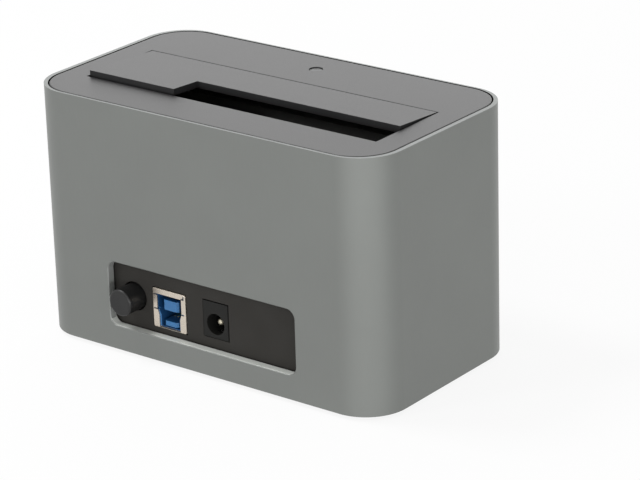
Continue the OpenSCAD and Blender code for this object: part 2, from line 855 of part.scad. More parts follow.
// Contact strips side by side on a tongue's face, with their lower face at z
module usb_strips(count, tongue, z) {
  pitch = tongue[0] / count;
  for (i = [0 : count - 1])
    translate([
      usb_x + (i - (count - 1) / 2) * pitch - usb_contact_w / 2,
      y_usb - usb_socket_l,
      z
    ])
      cube([usb_contact_w, usb_socket_l - usb_tongue_back - usb_contact_back, usb_contact_t]);
}

module usb_contacts() {
  color(gold) {
    usb_strips(usb_upper_count, usb_upper_tongue, z_usb + usb_upper_tongue[1] - usb_contact_t);
    usb_strips(usb_lower_count, usb_lower_tongue, z_usb + usb_lower_tongue[2]);
  }
}

module jack_body() {
  color(panel_black)
    difference() {
      box([-jack_x - jack_w / 2, y_jack - jack_l, z_board - jack_h], [-jack_x + jack_w / 2, y_jack, z_board]);
      bar_y(jack_bore_r, -jack_x, y_jack - jack_bore_l, y_jack + over, z_jack_bore);
      bar_y(jack_pin_r + press_fit, -jack_x, y_jack - jack_bore_l - jack_pin_root, y_jack, z_jack_bore);
      box([-jack_x - leaf_w / 2, y_jack - leaf_back - leaf_l, z_jack_bore - jack_bore_r - leaf_t],
          [-jack_x + leaf_w / 2, y_jack - leaf_back, z_jack_bore - jack_pin_r]);
    }
}

module jack_pin() {
  color(gold)
    bar_y(jack_pin_r, -jack_x, y_jack - jack_bore_l - jack_pin_root, y_jack - jack_pin_back, z_jack_bore);
}

// Leaf in the floor of the jack's bore
module jack_contact() {
  color(steel)
    box([-jack_x - leaf_w / 2, y_jack - leaf_back - leaf_l, z_jack_bore - jack_bore_r - leaf_t],
        [-jack_x + leaf_w / 2, y_jack - leaf_back, z_jack_bore - jack_bore_r + leaf_rise]);
}

// Square bar about the button's axis
module button_bar(w, y0, y1) {
  box([button_x - w / 2, y0, z_button - w / 2], [button_x + w / 2, y1, z_button + w / 2]);
}

module switch_body() {
  color(chip_black)
    difference() {
      box([button_x - switch_w / 2, y_switch - switch_l, z_button - switch_half_h],
          [button_x + switch_w / 2, y_switch, z_board]);
      button_bar(switch_bore_w, y_switch_back, y_switch + over);
    }
}

module switch_plunger() {
  color(clear_white) {
    button_bar(plunger_w, y_piston, y_flange + socket_l);
    button_bar(piston_w, y_piston, y_piston + piston_l);
  }
}

// Spring between the plunger and the back of the switch
module switch_spring() {
  coil_l = y_piston - y_switch_back - switch_spring_wire - 2 * press_fit;
  points = coil_points(switch_spring_r, coil_l / switch_spring_turns, switch_spring_turns,
                       switch_spring_lead, switch_spring_lead, 0);
  echo(switch_spring_gap = wire_gap(points, switch_spring_wire));
  color(steel)
    translate([button_x, y_switch_back + switch_spring_wire / 2 + press_fit, z_button])
      rotate([0, 0, 90]) wire_tube(points, switch_spring_wire);
}

// Round cap with a soft edge, a flange behind the panel and a socket for the plunger
module power_button() {
  color(panel_black)
    difference() {
      union() {
        bar_y(button_r, button_x, y_flange, y_button - button_round, z_button);
        bar_y(button_r - button_round, button_x, y_flange, y_button, z_button);
        translate([button_x, y_button - button_round, z_button])
          rotate([-90, 0, 0])
            rotate_extrude() translate([button_r - button_round, 0]) circle(button_round);
        bar_y(button_r + flange_lap, button_x, y_flange, y_flange + flange_t, z_button);
      }
      button_bar(plunger_w, y_flange - over, y_flange + socket_l);
    }
}

module bridge_chip() {
  color(chip_black) hung_box(chip_at, chip_size);
}

module memory_chip() {
  color(chip_black) hung_box(memory_at, memory_size);
}

module regulator() {
  color(chip_black) hung_box(regulator_at, regulator_size);
}

module power_inductor() {
  color(chip_black) hung_box(coil_at, coil_size);
}

module capacitors() {
  color(steel)
    for (i = [0 : capacitor_count - 1])
      translate([capacitor_at[0] + i * capacitor_step, capacitor_at[1], 0])
        bar_z(capacitor_r, 0, 0, z_board - capacitor_h, z_board);
}

// Can with round ends
module crystal() {
  half = (crystal_size[0] - crystal_size[1]) / 2;
  color(steel)
    translate([crystal_at[0], crystal_at[1], z_board - crystal_size[2]])
      linear_extrude(crystal_size[2]) {
        square([2 * half, crystal_size[1]], center = true);
        for (sx = [-1, 1]) translate([sx * half, 0]) circle(crystal_size[1] / 2);
      }
}

module chip_resistors() {
  color(chip_black)
    for (i = [0 : resistor_count[0] - 1], j = [0 : resistor_count[1] - 1])
      hung_box([resistor_at[0] + i * resistor_step[0], resistor_at[1] + j * resistor_step[1]], resistor_size);
}

module board_screws() {
  color(steel) at_board_bosses() screw(z_board, board_t + board_screw_in);
}

module bay_screws() {
  color(steel) at_tabs() screw(z_tab, tab_t + bay_screw_in);
}

module case_screws() {
  color(steel) at_corners(post_x, post_y) screw(foot_h + head_sink, bottom_t - head_sink + case_screw_in);
}

module rubber_feet() {
  color(rubber_black) at_corners(foot_x, foot_y) bar_z(foot_r, 0, 0, 0, foot_h + foot_sink);
}

// The origin lies under the middle of the whole outline, which the button makes longer at the rear
module placed() {
  translate([0, -button_proud / 2, 0]) children();
}

placed() outer_sleeve();
placed() top_cover();
placed() bottom_plate();
placed() rear_panel();
placed() drive_bay();
placed() drive_flap();
placed() hinge_pin();
placed() flap_springs();
placed() light_guide();
placed() status_led();
placed() main_board();
placed() sata_receptacle();
placed() sata_contacts();
placed() usb_shell();
placed() usb_insulator();
placed() usb_contacts();
placed() jack_body();
placed() jack_pin();
placed() jack_contact();
placed() switch_body();
placed() switch_plunger();
placed() switch_spring();
placed() power_button();
placed() bridge_chip();
placed() memory_chip();
placed() regulator();
placed() power_inductor();
placed() capacitors();
placed() crystal();
placed() chip_resistors();
placed() board_screws();
placed() bay_screws();
placed() case_screws();
placed() rubber_feet();
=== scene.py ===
"""Looks of the hard drive docking station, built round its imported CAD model. Shapes are in millimetres
until they become pieces."""

import json
import math

import bmesh
import bpy
from mathutils import Matrix, Vector


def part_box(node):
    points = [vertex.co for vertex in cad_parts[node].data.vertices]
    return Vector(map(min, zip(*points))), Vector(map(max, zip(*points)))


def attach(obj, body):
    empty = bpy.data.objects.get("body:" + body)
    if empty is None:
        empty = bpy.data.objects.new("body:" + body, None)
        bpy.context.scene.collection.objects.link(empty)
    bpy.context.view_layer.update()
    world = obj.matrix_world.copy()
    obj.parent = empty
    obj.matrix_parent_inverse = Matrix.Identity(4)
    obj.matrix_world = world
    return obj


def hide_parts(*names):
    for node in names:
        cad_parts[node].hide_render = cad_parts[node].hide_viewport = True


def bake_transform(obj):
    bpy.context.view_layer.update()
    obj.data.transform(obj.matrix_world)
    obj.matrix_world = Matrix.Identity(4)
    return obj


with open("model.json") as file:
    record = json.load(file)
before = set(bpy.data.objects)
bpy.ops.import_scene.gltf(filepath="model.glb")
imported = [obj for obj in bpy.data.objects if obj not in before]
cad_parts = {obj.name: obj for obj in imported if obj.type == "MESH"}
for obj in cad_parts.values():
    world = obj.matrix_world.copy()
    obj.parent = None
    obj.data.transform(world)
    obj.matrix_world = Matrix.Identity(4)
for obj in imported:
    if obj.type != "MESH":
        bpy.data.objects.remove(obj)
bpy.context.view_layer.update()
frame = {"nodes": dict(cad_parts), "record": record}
cad = frame["nodes"]

MM = 0.001
# A corner this near to a plane lies on it
ON_FACE = 0.01
# Corners this near to each other are one
SAME_POINT = 0.0005
# How far a cutting shape runs past what it cuts
PAST = 1


# Shapes

def node_box(node):
    """Lowest and highest corner of a CAD node, in millimetres."""
    low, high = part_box(node)
    return low / MM, high / MM


def block(low, high):
    bm = bmesh.new()
    bmesh.ops.create_cube(bm, size=1)
    low, high = Vector(low), Vector(high)
    bmesh.ops.scale(bm, vec=high - low, verts=bm.verts)
    bmesh.ops.translate(bm, vec=(low + high) / 2, verts=bm.verts)
    return bm


def arc(centre, radius, start, end, steps):
    """Points of a part of a circle, as (across, up)."""
    turns = [math.radians(start + (end - start) * i / steps) for i in range(steps + 1)]
    return [(centre[0] + radius * math.cos(a), centre[1] + radius * math.sin(a)) for a in turns]


def drawn_verts(made):
    return [g for g in made if isinstance(g, bmesh.types.BMVert)]


def drawn_edges(made):
    return [g for g in made if isinstance(g, bmesh.types.BMEdge)]


def prism(outline, x, y0, y1):
    """Outline of (across, height) points about x, drawn along Y."""
    bm = bmesh.new()
    face = bm.faces.new([bm.verts.new((x + a, y0, z)) for a, z in outline])
    made = bmesh.ops.extrude_face_region(bm, geom=[face])["geom"]
    bmesh.ops.translate(bm, vec=(0, y1 - y0, 0), verts=drawn_verts(made))
    bmesh.ops.recalc_face_normals(bm, faces=bm.faces)
    return bm


def turned(profile, centre, axis="Z", steps=48):
    """Shape turned from a profile of (radius, height) points about an axis through centre."""
    bm = bmesh.new()
    points = [bm.verts.new((r, 0, h)) for r, h in profile]
    lines = [bm.edges.new(pair) for pair in zip(points, points[1:])]
    bmesh.ops.spin(bm, geom=points + lines, cent=(0, 0, 0), axis=(0, 0, 1), angle=math.tau, steps=steps,
                   use_merge=True)
    bmesh.ops.remove_doubles(bm, verts=bm.verts, dist=2 * SAME_POINT)
    bmesh.ops.recalc_face_normals(bm, faces=bm.faces)
    turn = {"X": Matrix.Rotation(math.pi / 2, 3, "Y"), "Y": Matrix.Rotation(-math.pi / 2, 3, "X"),
            "Z": Matrix.Identity(3)}[axis]
    bmesh.ops.rotate(bm, cent=(0, 0, 0), matrix=turn, verts=bm.verts)
    bmesh.ops.translate(bm, vec=centre, verts=bm.verts)
    return bm


def edges_along(bm, axis):
    """Edges that run along one axis: 0, 1 or 2."""
    others = [i for i in range(3) if i != axis]
    level = 1e-4
    return [e for e in bm.edges
            if all(abs(e.verts[0].co[i] - e.verts[1].co[i]) < level for i in others)]


def sharp_edges(bm, least=25):
    """Edges where two faces meet at more than an angle."""
    return [e for e in bm.edges
            if len(e.link_faces) == 2 and e.calc_face_angle() > math.radians(least)]


def round_off(bm, edges, radius, segments):
    bmesh.ops.bevel(bm, geom=edges, offset=radius, offset_type="OFFSET", segments=segments, profile=0.5,
                    affect="EDGES", material=-1, clamp_overlap=True)
    return bm


def soften(bm, radius, segments=3, least=25):
    return round_off(bm, sharp_edges(bm, least), radius, segments)


def soften_where(bm, inside, radius, segments=3, least=40):
    """Rounds the sharp edges whose two ends both pass a test."""
    edges = [e for e in sharp_edges(bm, least) if all(inside(v.co) for v in e.verts)]
    return round_off(bm, edges, radius, segments)


def paint(bm, inside, layer=1):
    """Gives the faces whose middle and direction pass a test another of the piece's finishes."""
    for face in bm.faces:
        if inside(face.calc_center_median(), face.normal):
            face.material_index = layer
    return bm


def coat(bm, layer=1):
    """Gives the whole shape another of the piece's finishes."""
    return paint(bm, lambda co, out: True, layer)


def whole_faces(bm):
    """Joins flat faces that were cut up, so that only real edges are left."""
    flat = math.radians(0.5)
    bmesh.ops.remove_doubles(bm, verts=bm.verts, dist=SAME_POINT)
    bmesh.ops.dissolve_limit(bm, angle_limit=flat, verts=bm.verts, edges=bm.edges)
    return bm


def from_cad(node):
    """Copy of a CAD node's mesh, merged, with its flat faces whole."""
    bm = bmesh.new()
    bm.from_mesh(cad[node].data)
    bmesh.ops.scale(bm, vec=(1 / MM,) * 3, verts=bm.verts)
    return whole_faces(bm)


def softened(node, radius, segments=3):
    """Copy of a CAD node with its sharp edges rounded."""
    return soften(from_cad(node), radius, segments)


def in_order(bm):
    """Puts corners, edges and faces in the order of their places, so that every run gives the same mesh."""
    spread = Vector((1.0, 141.42, 1732.05))
    bm.verts.sort(key=lambda v: v.co.dot(spread))
    bm.edges.sort(key=lambda e: (e.verts[0].co + e.verts[1].co).dot(spread))
    bm.faces.sort(key=lambda f: f.calc_center_median().dot(spread))
    return bm


def loose_object(bm):
    in_order(bm)
    mesh = bpy.data.meshes.new("loose")
    bm.to_mesh(mesh)
    bm.free()
    obj = bpy.data.objects.new("loose", mesh)
    bpy.context.scene.collection.objects.link(obj)
    return obj


def carve(bm, tool, operation="DIFFERENCE"):
    """First shape less the second, or both in one."""
    body, other = loose_object(bm), loose_object(tool)
    step = body.modifiers.new("carve", "BOOLEAN")
    step.object, step.operation, step.solver = other, operation, "EXACT"
    mesh = bpy.data.meshes.new_from_object(body.evaluated_get(bpy.context.evaluated_depsgraph_get()))
    result = bmesh.new()
    result.from_mesh(mesh)
    for used in (body, other):
        bpy.data.meshes.remove(used.data)
    bpy.data.meshes.remove(mesh)
    return result


def together(shapes):
    """Several separate shapes in one mesh."""
    result = bmesh.new()
    for bm in shapes:
        mesh = bpy.data.meshes.new("loose")
        bm.to_mesh(mesh)
        bm.free()
        result.from_mesh(mesh)
        bpy.data.meshes.remove(mesh)
    return result


# Finishes

# Part of a noise's range that a colour or a roughness is spread over
NOISE_LOW, NOISE_HIGH = 0.3, 0.7
# Width of the broad, faint patches in plastic and in metal
PLASTIC_PATCH, METAL_PATCH = 14, 20


def add(tree, kind, sockets=(), **settings):
    node = tree.nodes.new(kind)
    for key, value in settings.items():
        setattr(node, key, value)
    for key, value in dict(sockets).items():
        node.inputs[key].default_value = value
    return node


def grain(tree, size, detail, stretch=(1, 1, 1)):
    """Noise whose spots are about size millimetres wide."""
    place = add(tree, "ShaderNodeTexCoord")
    turn = add(tree, "ShaderNodeMapping", {"Scale": stretch})
    noise = add(tree, "ShaderNodeTexNoise", {"Scale": 1 / (size * MM), "Detail": detail})
    tree.links.new(place.outputs["Object"], turn.inputs["Vector"])
    tree.links.new(turn.outputs["Vector"], noise.inputs["Vector"])
    return noise.outputs["Fac"]


def ranged(tree, factor, low, high):
    """Factor spread between two values."""
    node = add(tree, "ShaderNodeMapRange",
               {"From Min": NOISE_LOW, "From Max": NOISE_HIGH, "To Min": low, "To Max": high})
    tree.links.new(factor, node.inputs["Value"])
    return node.outputs["Result"]


def tinted(tree, factor, dark, light):
    """Colour that goes from dark to light with the factor."""
    node = add(tree, "ShaderNodeValToRGB")
    first, last = node.color_ramp.elements
    first.position, first.color = NOISE_LOW, (*dark, 1)
    last.position, last.color = NOISE_HIGH, (*light, 1)
    tree.links.new(factor, node.inputs["Fac"])
    return node.outputs["Color"]


def raised(tree, factor, shader, height):
    """Bump of a height in millimetres under the shader."""
    node = add(tree, "ShaderNodeBump", {"Strength": 1.0, "Distance": height * MM})
    tree.links.new(factor, node.inputs["Height"])
    tree.links.new(node.outputs["Normal"], shader.inputs["Normal"])


def new_finish(name, **sockets):
    """Material with a principled shader, whose sockets are set from the keywords."""
    material = bpy.data.materials.new(name)
    material.use_nodes = True
    tree = material.node_tree
    shader = tree.nodes["Principled BSDF"]
    for key, value in sockets.items():
        shader.inputs[key.replace("_", " ").title().replace("Ior", "IOR")].default_value = value
    return material, tree, shader


def patterned(tree, shader, fine, broad, dark, light, rough, height):
    """Lays broad patches of colour and a fine roughness and bump on a shader."""
    tree.links.new(tinted(tree, broad, dark, light), shader.inputs["Base Color"])
    tree.links.new(ranged(tree, fine, *rough), shader.inputs["Roughness"])
    raised(tree, fine, shader, height)


def speckled(name, dark, light, rough, size, height, **sockets):
    """Finish with a fine grain over broad, faint patches: moulded plastic, rubber, ceramic."""
    material, tree, shader = new_finish(name, **sockets)
    fine = grain(tree, size, detail=3)
    broad = grain(tree, PLASTIC_PATCH, detail=2)
    patterned(tree, shader, fine, broad, dark, light, rough, height)
    return material


def brushed(name, dark, light, rough, size, height, stretch=(1, 1, 1), metallic=1.0):
    """Metal finish with fine lines along the direction in which its grain is stretched."""
    material, tree, shader = new_finish(name, metallic=metallic)
    lines = grain(tree, size, detail=4, stretch=stretch)
    broad = grain(tree, METAL_PATCH, detail=2)
    patterned(tree, shader, lines, broad, dark, light, rough, height)
    return material


# Stretch of a grain that gives lines along X, Y or Z
LINES_X, LINES_Y, LINES_Z = (0.1, 1, 1), (1, 0.1, 1), (1, 1, 0.08)

finishes = {
    "sleeve_metal": brushed("anodised_sleeve", dark=(0.191, 0.199, 0.190), light=(0.198, 0.207, 0.197),
                            rough=(0.39, 0.45), size=0.25, height=0.0015, stretch=LINES_Z, metallic=0.8),
    "cover_plastic": speckled("satin_black_cover", dark=(0.012, 0.012, 0.0124),
                              light=(0.015, 0.015, 0.0154), rough=(0.36, 0.44), size=0.22, height=0.003,
                              specular_ior_level=0.5),
    "bay_plastic": speckled("black_well", dark=(0.085, 0.085, 0.081), light=(0.095, 0.095, 0.091),
                            rough=(0.5, 0.62), size=0.3, height=0.006),
    "panel_plastic": speckled("matt_black_panel", dark=(0.026, 0.0245, 0.0222),
                              light=(0.030, 0.0285, 0.0262), rough=(0.6, 0.72), size=0.2, height=0.004,
                              specular_ior_level=0.1),
    "button_plastic": speckled("satin_black_button", dark=(0.007, 0.007, 0.007),
                               light=(0.009, 0.009, 0.009), rough=(0.34, 0.42), size=0.15, height=0.002,
                               specular_ior_level=0.36),
    "jack_plastic": speckled("black_jack", dark=(0.0085, 0.0086, 0.0078), light=(0.0105, 0.0106, 0.0098),
                             rough=(0.4, 0.5), size=0.2, height=0.003, specular_ior_level=0.15),
    "plated_shell": brushed("nickel_plate", dark=(0.52, 0.465, 0.395), light=(0.585, 0.525, 0.45),
                            rough=(0.24, 0.34), size=0.2, height=0.001, stretch=LINES_Y, metallic=0.85),
    "socket_plastic": speckled("blue_socket", dark=(0.0155, 0.108, 0.270), light=(0.020, 0.124, 0.300),
                               rough=(0.3, 0.4), size=0.2, height=0.002),
    "contact_metal": brushed("gold_plate", dark=(0.86, 0.70, 0.36), light=(0.92, 0.78, 0.44),
                             rough=(0.18, 0.28), size=0.15, height=0.0005, stretch=LINES_Y),
    "steel": brushed("bright_steel", dark=(0.45, 0.45, 0.46), light=(0.55, 0.55, 0.56),
                     rough=(0.22, 0.34), size=0.15, height=0.001, stretch=LINES_X),
    "light_plastic": speckled("frosted_light", dark=(0.076, 0.078, 0.078), light=(0.092, 0.094, 0.094),
                              rough=(0.36, 0.44), size=0.2, height=0.001),
    "board_laminate": speckled("green_board", dark=(0.010, 0.070, 0.030), light=(0.014, 0.095, 0.042),
                               rough=(0.25, 0.35), size=1.2, height=0.01),
    "chip_plastic": speckled("black_compound", dark=(0.015, 0.015, 0.017), light=(0.022, 0.022, 0.024),
                             rough=(0.5, 0.62), size=0.15, height=0.003),
    "plunger_plastic": speckled("white_moulding", dark=(0.58, 0.56, 0.50), light=(0.64, 0.62, 0.56),
                                rough=(0.4, 0.5), size=0.25, height=0.003),
    "foot_rubber": speckled("black_rubber", dark=(0.014, 0.014, 0.014), light=(0.020, 0.020, 0.020),
                            rough=(0.65, 0.8), size=0.25, height=0.01),
}
door_plastic = speckled("satin_black_door", dark=(0.012, 0.012, 0.0124), light=(0.015, 0.015, 0.0154),
                        rough=(0.36, 0.44), size=0.22, height=0.003, specular_ior_level=0.35)
# Turned rim finish, a little lighter than the sleeve, with painted highlight for the bright line along the
# rims.
rim_metal_painted_highlight = brushed("turned_rim_painted_highlight", dark=(0.207, 0.216, 0.211), light=(0.230, 0.240, 0.234),
                    rough=(0.42, 0.52), size=0.2, height=0.001, metallic=0.7)
# Milled metal of the port recess in two tones of one finish: a light one with painted light for faces
# looking up, and a darker one with painted shade for faces looking aside.
milled_metal_painted_light = brushed("milled_edge_painted_light", dark=(0.60, 0.62, 0.59), light=(0.66, 0.68, 0.65),
                    rough=(0.45, 0.55), size=0.3, height=0.001, metallic=0.3)
milled_metal_painted_shade = brushed("milled_side_painted_shade", dark=(0.26, 0.27, 0.26), light=(0.30, 0.31, 0.30),
                     rough=(0.45, 0.55), size=0.3, height=0.001, metallic=0.3)
# Near-black painted shade for the rim's inner walls, standing for the shade in the groove round the cover.
groove_painted_shade = speckled("groove_painted_shade", dark=(0.006, 0.006, 0.006), light=(0.009, 0.009, 0.009),
                     rough=(0.6, 0.7), size=0.2, height=0.002, specular_ior_level=0.1)
# Paler, darker gold than the contacts, so the pin's round tip shines dimly.
pin_metal = brushed("dim_gold", dark=(0.38, 0.35, 0.27), light=(0.44, 0.41, 0.32),
                    rough=(0.42, 0.52), size=0.15, height=0.0005, stretch=LINES_Y)
# Darker blue painted shade for the socket's hollow and the tongues' sides.
socket_painted_shade = speckled("blue_painted_shade", dark=(0.006, 0.045, 0.130), light=(0.008, 0.052, 0.148),
                     rough=(0.4, 0.5), size=0.2, height=0.002)
tin = brushed("tinned_end", dark=(0.62, 0.62, 0.61), light=(0.72, 0.72, 0.71),
              rough=(0.28, 0.4), size=0.2, height=0.001)
copper = brushed("copper_wire", dark=(0.52, 0.20, 0.09), light=(0.62, 0.26, 0.13),
                 rough=(0.25, 0.36), size=0.15, height=0.001, stretch=LINES_X)
ceramic = speckled("white_ceramic", dark=(0.60, 0.59, 0.56), light=(0.66, 0.65, 0.62),
                   rough=(0.4, 0.5), size=0.2, height=0.002)
laminate = speckled("cut_laminate", dark=(0.20, 0.19, 0.09), light=(0.26, 0.25, 0.13),
                    rough=(0.55, 0.7), size=0.12, height=0.008)

slot_of = {part["node"]: part["material_slot"] for part in frame["record"]["subparts"]}
for name, node in cad.items():
    node.data.materials.clear()
    node.data.materials.append(finishes[slot_of[name]])


# Pieces

def piece(name, bm, body, layers, stands_for=(), smooth=32):
    """Makes the shape a finished piece that rides on a body, if it names one."""
    bmesh.ops.dissolve_degenerate(bm, dist=SAME_POINT, edges=bm.edges)
    bmesh.ops.scale(bm, vec=(MM,) * 3, verts=bm.verts)
    mesh = bpy.data.meshes.new(name)
    bm.to_mesh(mesh)
    bm.free()
    if "custom_normal" in mesh.attributes:
        mesh.attributes.remove(mesh.attributes["custom_normal"])
    for layer in layers:
        mesh.materials.append(layer)
    mesh.shade_smooth()
    mesh.set_sharp_from_angle(angle=math.radians(smooth))
    obj = bpy.data.objects.new(name, mesh)
    bpy.context.scene.collection.objects.link(obj)
    even = obj.modifiers.new("even_shading", "WEIGHTED_NORMAL")
    even.keep_sharp = True
    if body:
        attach(obj, body)
    if stands_for:
        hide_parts(*stands_for)
    return obj


def dress(name, bm, node, extra=(), finish=None):
    """Piece that stands for one CAD node, on its body and with its finish, and others where painted."""
    bodies = frame["record"]["behaviour"]["bodies"]
    body = next(b for b, members in bodies.items() if node in members)
    return piece(name, bm, body, [finish or finishes[slot_of[node]], *extra], [node])


# Case

def plate_outline(side, end, z0, z1, corner):
    """Block with the case's outline, drawn in from its sides and its front and rear."""
    low, high = node_box("outer_sleeve")
    bm = block((low.x + side, low.y + end, z0), (high.x - side, high.y - end, z1))
    return round_off(bm, edges_along(bm, 2), corner, 24)


def sleeve_wall(low, high, corner, wall):
    """Section of the wall drawn along the four sides and round the corners between them."""
    bm = bmesh.new()
    ring = [(0, low.z), (0, high.z), (wall, high.z), (wall, low.z)]
    bm.faces.new([bm.verts.new((low.x + corner, low.y + inward, z)) for inward, z in ring])
    section = list(bm.edges)
    bmesh.ops.delete(bm, geom=list(bm.faces), context="FACES_ONLY")
    long, short = high.x - low.x - 2 * corner, high.y - low.y - 2 * corner
    runs = [((long, 0, 0), (high.x - corner, low.y + corner)),
            ((0, short, 0), (high.x - corner, high.y - corner)),
            ((-long, 0, 0), (low.x + corner, high.y - corner)),
            ((0, -short, 0), (low.x + corner, low.y + corner))]
    for run, (x, y) in runs:
        section = straight_run(bm, section, run)
        corners = list({v for e in section for v in e.verts})
        made = bmesh.ops.spin(bm, geom=corners + section, cent=(x, y, 0), axis=(0, 0, 1),
                              angle=math.pi / 2, steps=24)["geom_last"]
        section = drawn_edges(made)
    bmesh.ops.remove_doubles(bm, verts=bm.verts, dist=2 * SAME_POINT)
    bmesh.ops.recalc_face_normals(bm, faces=bm.faces)
    return bm


def straight_run(bm, ring, run):
    """Draws a ring of edges on by a straight run and gives its new end."""
    made = bmesh.ops.extrude_edge_only(bm, edges=ring)["geom"]
    moved = drawn_verts(made)
    bmesh.ops.translate(bm, vec=run, verts=moved)
    return [e for e in drawn_edges(made) if all(v in moved for v in e.verts)]


def sleeve():
    """Wall round the four sides, with a rim at both ends and the port recess cut through the rear."""
    low, high = node_box("outer_sleeve")
    corner, wall = 13.0, 2.5
    rim, side_rim = 0.65, 1.35
    cover_t, plate_t = 2.2, 2.5
    cover_seat, plate_seat = high.z - cover_t, low.z + plate_t
    bm = sleeve_wall(low, high, corner, wall)
    bm = carve(bm, plate_outline(side_rim, rim, cover_seat, high.z + PAST, corner - rim))
    bm = carve(bm, plate_outline(side_rim, rim, low.z - PAST, plate_seat, corner - rim))
    port_half, port_foot, port_top, port_corner = 34.0, 8.7, 28.35, 2.75
    port = block((-port_half, high.y - 2 * wall, port_foot), (port_half, high.y + wall, port_top))
    round_off(port, edges_along(port, 1), port_corner, 10)
    bm = whole_faces(carve(bm, port))
    near = 0.5

    def in_port(co):
        across = abs(co.x) < port_half + near
        return across and co.y > high.y - wall - ON_FACE and port_foot - near < co.z < port_top + near

    def at_end(co):
        return co.z > high.z - ON_FACE or co.z < low.z + ON_FACE

    def outward(co, out):
        return out.x * co.x + out.y * co.y

    def faces_up(out):
        return abs(out.y) < 0.3 and out.z > 0.5

    def faces_aside(out):
        return abs(out.y) < 0.6 and -0.9 < out.z <= 0.5

    rim_edge, outer_lip, inner_lip, rim_band = 0.04, 0.4, 0.1, 0.2
    rim_highlight_layer, painted_light_layer, painted_shade_layer, groove_shade_layer = 1, 2, 3, 4
    ends = [e for e in sharp_edges(bm, 40) if all(at_end(v.co) for v in e.verts)]
    outer = [e for e in ends if any(outward(f.calc_center_median(), f.normal) > 1 for f in e.link_faces)]
    round_off(bm, outer, rim_edge, 2)
    soften_where(bm, lambda co: in_port(co) and co.y > high.y - ON_FACE, outer_lip, 4)
    soften_where(bm, lambda co: in_port(co) and co.y < high.y - wall + ON_FACE, inner_lip, 2)
    # Painted highlight: the bands at both rims take the lighter rim finish.
    paint(bm, lambda co, out: co.z > high.z - rim_band or co.z < low.z + rim_band, rim_highlight_layer)
    # Painted shade: the rim's inner walls above the cover's seat go near black.
    paint(bm, lambda co, out: co.z > cover_seat and outward(co, out) < -1, groove_shade_layer)
    # Painted light on the recess faces that look up, and painted shade on those that look aside.
    paint(bm, lambda co, out: in_port(co) and faces_up(out), painted_light_layer)
    return paint(bm, lambda co, out: in_port(co) and faces_aside(out), painted_shade_layer)


def cover():
    """Plate with soft edges round its outline, the slot and the light's hole, on posts and ears."""
    bm = from_cad("top_cover")
    top = node_box("top_cover")[1].z
    rod_low, rod_high = node_box("light_guide")
    light_y = (rod_low.y + rod_high.y) / 2
    hole_reach = 3
    slot_half, slot_front, slot_rear = 52.1, -12.5, 16.8
    hole_edge, slot_edge, outer_edge, under_edge = 0.1, 0.15, 0.45, 0.15
    below = 0.6

    def on_top(co):
        return co.z > top - ON_FACE

    def at_hole(co):
        return on_top(co) and math.hypot(co.x, co.y - light_y) < hole_reach

    def at_slot(co):
        return on_top(co) and abs(co.x) < slot_half and slot_front < co.y < slot_rear

    soften_where(bm, at_hole, hole_edge)
    soften_where(bm, at_slot, slot_edge)
    soften_where(bm, lambda co: on_top(co) and not at_hole(co) and not at_slot(co), outer_edge, 4)
    return soften_where(bm, lambda co: co.z < top - below, under_edge)


def light_guide():
    """Frosted head in the cover, a collar below it and a rod down to the lamp."""
    low, high = node_box("light_guide")
    x, y = (low.x + high.x) / 2, (low.y + high.y) / 2
    rod, wide, head = 1.6, 2.8, 2
    rod_edge, wide_edge, head_edge = 0.2, 0.15, 0.18
    collar, collar_t = high.z - 6.7, 1
    under = collar - collar_t
    profile = [(0, low.z), (rod - rod_edge, low.z), (rod, low.z + rod_edge),
               (rod, under), (wide - wide_edge, under), (wide, under + wide_edge),
               (wide, collar - wide_edge), (wide - wide_edge, collar), (head, collar)]
    profile += arc((head - head_edge, high.z - head_edge), head_edge, 0, 90, 4) + [(0, high.z)]
    return turned(profile, (x, y, 0), "Z", 48)


def status_lamp():
    """Square base with a domed lens."""
    low, high = node_box("status_led")
    x, y = (low.x + high.x) / 2, (low.y + high.y) / 2
    base_t, base_edge = 1, 0.15
    lens, lens_edge, sunk = 1, 0.6, 0.4
    base = soften(block(low, (high.x, high.y, low.z + base_t)), base_edge)
    under = low.z + base_t - sunk
    profile = [(0, under), (lens, under)]
    profile += arc((lens - lens_edge, high.z - lens_edge), lens_edge, 0, 90, 6) + [(0, high.z)]
    return carve(base, turned(profile, (x, y, 0), "Z", 32), "UNION")


def hinge_pin():
    low, high = node_box("hinge_pin")
    r, edge = 1, 0.2
    ends = [(0, low.x), (r - edge, low.x), (r, low.x + edge),
            (r, high.x - edge), (r - edge, high.x), (0, high.x)]
    return turned(ends, (0, (low.y + high.y) / 2, (low.z + high.z) / 2), "X", 32)


def rubber_foot(x, y):
    """Round foot whose underside has a raised ring."""
    low, high = node_box("rubber_feet")
    r, edge = 5, 0.7
    dish, dish_r, ring_r = 0.15, 3.5, 3.8
    profile = [(0, low.z + dish), (dish_r, low.z + dish), (ring_r, low.z), (r - edge, low.z)]
    profile += arc((r - edge, low.z + edge), edge, -90, 0, 6)[1:] + [(r, high.z), (0, high.z)]
    return turned(profile, (x, y, 0), "Z", 56)


